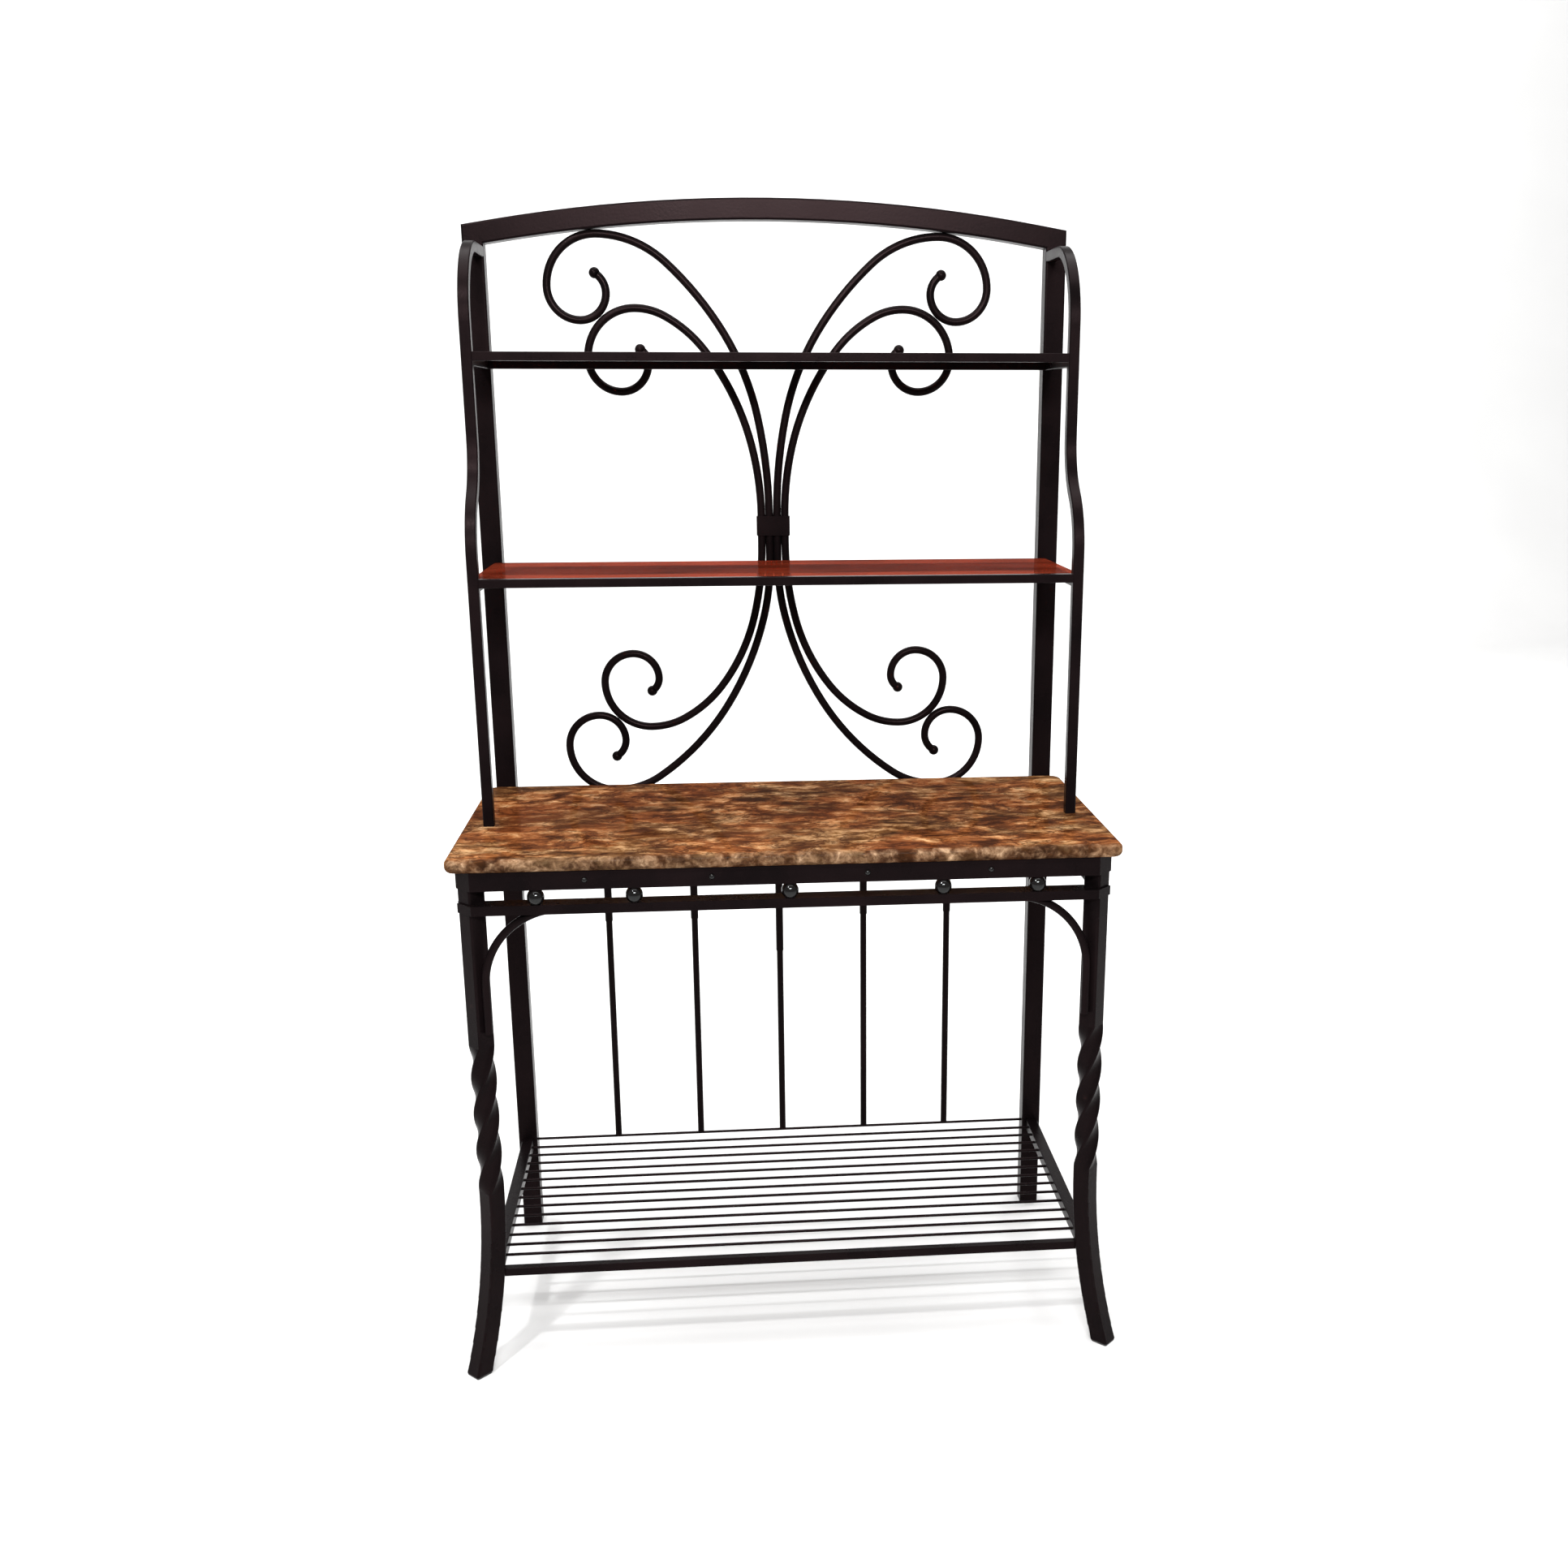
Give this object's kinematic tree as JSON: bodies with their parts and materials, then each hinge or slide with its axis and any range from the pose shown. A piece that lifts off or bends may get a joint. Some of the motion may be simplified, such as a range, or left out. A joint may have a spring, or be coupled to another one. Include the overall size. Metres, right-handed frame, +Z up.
{
  "type": "bakers rack",
  "caption": "Steel bakers rack with a stone worktop, glass shelves, a scrolled back, twisted front legs and a wire lower shelf.",
  "frame": {"origin": "on the floor under the middle of the rack's outline", "axes": "+Z up, +X to the right when facing the rack, the user stands at -Y"},
  "size_m": [1.0018, 0.5089, 1.728],
  "materials": {
    "frame_paint": "semi-gloss near-black brown powder coat",
    "ball_paint": "glossy near-black paint",
    "stone": null,
    "shelf_glass": "copper-amber tinted glass with ground edges",
    "bumper": "clear soft plastic",
    "glide": "matt black nylon"
  },
  "bodies": {
    "rack": {"rear_post_left": "frame_paint", "rear_post_right": "frame_paint", "top_arch": "frame_paint", "front_leg_left": "frame_paint", "front_leg_right": "frame_paint", "apron_front": "frame_paint", "apron_left": "frame_paint", "apron_right": "frame_paint", "apron_back": "frame_paint", "ring_front": "frame_paint", "ring_left": "frame_paint", "ring_right": "frame_paint", "front_brace_left": "frame_paint", "front_brace_right": "frame_paint", "side_brace_left": "frame_paint", "side_brace_right": "frame_paint", "upper_tube_left": "frame_paint", "upper_tube_right": "frame_paint", "top_shelf_front_rail": "frame_paint", "top_shelf_back_rail": "frame_paint", "top_shelf_rail_left": "frame_paint", "top_shelf_rail_right": "frame_paint", "middle_shelf_front_rail": "frame_paint", "middle_shelf_back_rail": "frame_paint", "middle_shelf_rail_left": "frame_paint", "middle_shelf_rail_right": "frame_paint", "scroll_outer_left": "frame_paint", "scroll_outer_right": "frame_paint", "scroll_inner_left": "frame_paint", "scroll_inner_right": "frame_paint", "scroll_collar": "frame_paint", "spindle_1": "frame_paint", "spindle_2": "frame_paint", "spindle_3": "frame_paint", "spindle_4": "frame_paint", "spindle_5": "frame_paint", "spindle_sockets": "frame_paint", "lower_shelf_frame": "frame_paint", "lower_shelf_back_bar": "frame_paint", "lower_shelf_wires": "frame_paint", "ring_balls": "ball_paint", "apron_screws": "ball_paint", "marble_top": "stone", "middle_bumpers": "bumper", "top_bumpers": "bumper", "rear_glide_left": "glide", "rear_glide_right": "glide", "front_glide_left": "glide", "front_glide_right": "glide"},
    "top_pane": {"top_glass": "shelf_glass"},
    "middle_pane": {"middle_glass": "shelf_glass"}
  },
  "joints": [
    {"name": "top_glass_lift", "type": "slide", "parent": "rack", "child": "top_pane", "axis": [0, 0, 1], "range_m": [0, 0.04]},
    {"name": "middle_glass_lift", "type": "slide", "parent": "rack", "child": "middle_pane", "axis": [0, 0, 1], "range_m": [0, 0.025]}
  ]
}
